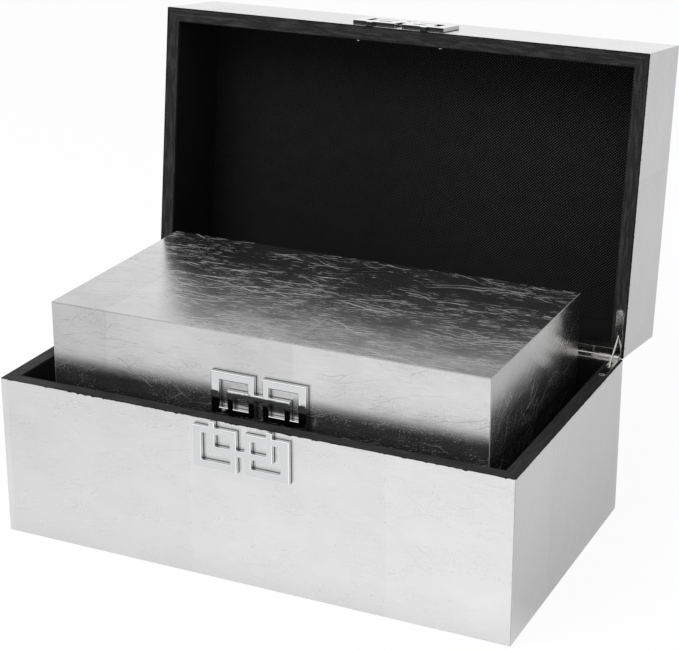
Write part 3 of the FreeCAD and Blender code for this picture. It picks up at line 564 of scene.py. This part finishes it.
# The thread is rolled on the thinner core, from just above the tip up to the head
threaded = add(tree, "ShaderNodeMath", {0: taper, 1: seat}, operation="SUBTRACT")
turns = add(tree, "ShaderNodeMath", {0: threaded, 1: THREAD_PITCH}, operation="DIVIDE")
helix = add(tree, "GeometryNodeCurveSpiral", {"Resolution": 16, "Rotations": turns, "Start Radius": core,
                                              "End Radius": core, "Height": threaded})
ridge = add(tree, "GeometryNodeCurvePrimitiveCircle", {"Resolution": 3, "Radius": crest})
thread = add(tree, "GeometryNodeCurveToMesh", {"Curve": helix, "Profile Curve": ridge, "Fill Caps": True})
tip_height = add(tree, "ShaderNodeMath", {0: taper, 1: -1.0}, operation="MULTIPLY")
tip_height = add(tree, "ShaderNodeCombineXYZ", {"Z": tip_height})
thread = add(tree, "GeometryNodeTransform", {"Geometry": thread, "Translation": tip_height})
screw = add(tree, "GeometryNodeJoinGeometry", {0: recessed})
tree.links.new(thread.outputs[0], screw.inputs[0])
driven = add(tree, "FunctionNodeRandomValue", {1: (0, 0, math.tau), "Seed": 4},
             data_type="FLOAT_VECTOR")
screws = add(tree, "GeometryNodeInstanceOnPoints", {"Points": given.outputs["Seats"], "Instance": screw,
                                                    "Rotation": driven})
screws = add(tree, "GeometryNodeRealizeInstances", {"Geometry": screws})
screws = add(tree, "GeometryNodeSetMaterial", {"Geometry": screws, "Material": zinc})
add(tree, "NodeGroupOutput", {0: screws})


def drive_screws(stands_for, half, name, turn, head, rise, seat, shank):
    """One half's like screws, each where its CAD screw is, made head up and then turned into place. A pan head
    has no seat, and its rise is then part of the CAD screw's length."""
    shut = turn.inverted() @ closing(half)
    groups = []
    for vertex in nodes[stands_for].data.vertices:
        point = shut @ vertex.co
        near = [group for group in groups if (group[0] - point).xy.length < SCREW_SPREAD]
        if near:
            near[0].append(point)
        else:
            groups.append([point])
    boxes = [corners(group) for group in groups]
    length = boxes[0][1].z - boxes[0][0].z - (0.0 if seat else rise)
    seats = [((low.x + high.x) / 2, (low.y + high.y) / 2, low.z + length) for low, high in boxes]
    points = bpy.data.meshes.new(f"{name}_seats")
    points.from_pydata(seats, [], [])
    piece = bpy.data.objects.new(f"{name}_seats", points)
    bpy.context.scene.collection.objects.link(piece)
    modifier = piece.modifiers.new("screws", "NODES")
    modifier.node_group = screw_tree
    for size, value in zip(screw_sizes, (head, rise, seat, shank, length)):
        modifier[screw_sizes[size]] = value
    depsgraph = bpy.context.evaluated_depsgraph_get()
    mesh = bpy.data.meshes.new_from_object(piece.evaluated_get(depsgraph), depsgraph=depsgraph)
    bpy.data.objects.remove(piece)
    mesh.transform(shut.inverted())
    screws = bpy.data.objects.new(name, mesh)
    bpy.context.scene.collection.objects.link(screws)
    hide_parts(stands_for)
    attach(screws, half)


for half in HALVES:
    head_up = Matrix() if half.endswith("base") else Matrix.Rotation(math.pi, 4, "X")
    head_in = Matrix.Rotation(-math.pi / 2, 4, "X")
    drive_screws(f"{half}_hinge_screws", half, f"{half}_countersunk_screws", head_up,
                 head=1.95 * MM, rise=0.25 * MM, seat=1.2 * MM, shank=1.1 * MM)
    drive_screws(f"{half}_plate_screws", half, f"{half}_pan_head_screws", head_in,
                 head=2 * MM, rise=2 * MM, seat=0.0, shank=1.1 * MM)

# Floor: the white table of the studio, as wide as the light falls. It is only a stage, and keeps the soft
# shadow of the box. The metal mirrors it paler in front of the box than to the left, where the light falls
# off, and than in the box's own shade on the right.
TABLE_LOW = (-3.0, -1.0)
TABLE_HIGH = (3.0, 4.0)
table_mesh = bpy.data.meshes.new("studio_table")
table_mesh.from_pydata([(TABLE_LOW[0], TABLE_LOW[1], 0), (TABLE_HIGH[0], TABLE_LOW[1], 0),
                        (TABLE_HIGH[0], TABLE_HIGH[1], 0), (TABLE_LOW[0], TABLE_HIGH[1], 0)],
                       [], [(0, 1, 2, 3)])
table = bpy.data.objects.new("studio_table", table_mesh)
bpy.context.scene.collection.objects.link(table)
material, tree = new_material("white table")
rays = add(tree, "ShaderNodeLightPath", {})
paper = add(tree, "ShaderNodeBsdfDiffuse", {"Color": linear("#F4F4F4")})
place = add(tree, "ShaderNodeTexCoord", {})
place = add(tree, "ShaderNodeSeparateXYZ", {0: place.outputs["Object"]})
in_front = add(tree, "ShaderNodeMapRange", {"Value": place.outputs["Y"], "From Min": -0.05,
                                            "From Max": -0.15})
fall_off = add(tree, "ShaderNodeMapRange", {"Value": place.outputs["X"], "From Min": -1.0, "From Max": 0.15,
                                            "To Min": 0.6, "To Max": 1.07})
in_shade = add(tree, "ShaderNodeMapRange", {"Value": place.outputs["X"], "From Min": 0.2, "From Max": 0.5,
                                            "To Min": 0.58, "To Max": 0.8})
shine = add(tree, "ShaderNodeMix", {"Factor": in_front, FLOAT_A: in_shade, FLOAT_B: fall_off})
shine = add(tree, "ShaderNodeMix", {"Factor": rays.outputs["Is Glossy Ray"], FLOAT_A: 1.0,
                                    FLOAT_B: shine})
glow = add(tree, "ShaderNodeEmission", {"Color": linear("#FFFFFF"), "Strength": shine})
seen = add(tree, "ShaderNodeMath", {0: rays.outputs["Is Camera Ray"], 1: 0.95}, operation="MULTIPLY")
mirrored = add(tree, "ShaderNodeMath", {0: rays.outputs["Is Glossy Ray"], 1: 0.7, 2: seen},
               operation="MULTIPLY_ADD")
white = add(tree, "ShaderNodeMixShader", {0: mirrored, 1: paper, 2: glow})
add(tree, "ShaderNodeOutputMaterial", {"Surface": white})
table_mesh.materials.append(material)

# Light: a white room behind and above the table, open to the dark studio in front of it, which only the
# metal mirrors, and one large soft lamp high on the left.
world = bpy.data.worlds.new("white studio")
bpy.context.scene.world = world
world.use_nodes = True
tree = world.node_tree
tree.nodes.clear()
rays = add(tree, "ShaderNodeLightPath", {})
place = add(tree, "ShaderNodeTexCoord", {})
towards = add(tree, "ShaderNodeSeparateXYZ", {0: place.outputs["Generated"]})
right = add(tree, "ShaderNodeMapRange", {"Value": towards.outputs["X"], "From Min": 0.1, "From Max": 0.45,
                                         "To Min": 1.0, "To Max": 0.66}, interpolation_type="SMOOTHSTEP")
front = add(tree, "ShaderNodeMapRange", {"Value": towards.outputs["Y"], "From Min": -0.5, "From Max": -0.2,
                                         "To Min": 0.04, "To Max": 1.0}, interpolation_type="SMOOTHSTEP")
ceiling = add(tree, "ShaderNodeMapRange", {"Value": towards.outputs["Z"], "From Min": 0.06,
                                           "From Max": 0.2}, interpolation_type="SMOOTHSTEP")
studio = add(tree, "ShaderNodeMath", {0: front, 1: ceiling}, operation="MAXIMUM")
studio = add(tree, "ShaderNodeMath", {0: studio, 1: right}, operation="MULTIPLY")
plain = add(tree, "ShaderNodeMath", {0: rays.outputs["Is Camera Ray"],
                                     1: rays.outputs["Is Transmission Ray"]}, operation="MAXIMUM")
plain = add(tree, "ShaderNodeMapRange", {"Value": plain, "To Min": 0.55, "To Max": 1.0})
strength = add(tree, "ShaderNodeMix", {"Factor": rays.outputs["Is Glossy Ray"], FLOAT_A: plain,
                                       FLOAT_B: studio})
room = add(tree, "ShaderNodeBackground", {"Color": linear("#FFFFFF"), "Strength": strength})
add(tree, "ShaderNodeOutputWorld", {"Surface": room})

lamp = bpy.data.lights.new("soft lamp", "AREA")
lamp.shape = "DISK"
lamp.size = 1.4
lamp.energy = 36
lamp_object = bpy.data.objects.new("soft lamp", lamp)
bpy.context.scene.collection.objects.link(lamp_object)
lamp_object.location = (-0.7, -1.4, 1.7)
lamp_object.visible_glossy = False
lamp_object.rotation_mode = "QUATERNION"
lamp_object.rotation_quaternion = lamp_object.location.to_track_quat("Z", "Y")

# Camera: a long lens from the right and above, as the boxes were photographed. Its place, aim and focal
# length were solved from the corners of the two boxes.
IMAGE_WIDTH = 679
IMAGE_HEIGHT = 650
FOCAL_PIXELS = 1906.654
CENTRE_PIXEL = (332.928, 284.768)
CAMERA_PLACE = (0.575822, -1.168881, 0.658071)
azimuth = math.radians(25.642)
elevation = math.radians(19.804)
roll = math.radians(-0.158)
camera = bpy.data.cameras.new("camera")
camera.sensor_width = 36
camera.lens = FOCAL_PIXELS * camera.sensor_width / IMAGE_WIDTH
camera.shift_x = (IMAGE_WIDTH / 2 - CENTRE_PIXEL[0]) / IMAGE_WIDTH
camera.shift_y = (CENTRE_PIXEL[1] - IMAGE_HEIGHT / 2) / IMAGE_WIDTH
camera_object = bpy.data.objects.new("camera", camera)
bpy.context.scene.collection.objects.link(camera_object)
back = Vector((math.sin(azimuth) * math.cos(elevation), -math.cos(azimuth) * math.cos(elevation),
               math.sin(elevation)))
aim = back.to_track_quat("Z", "Y").to_matrix().to_4x4()
camera_object.matrix_world = Matrix.Translation(CAMERA_PLACE) @ aim @ Matrix.Rotation(roll, 4, "Z")
bpy.context.scene.camera = camera_object
bpy.context.scene.view_settings.view_transform = "Standard"
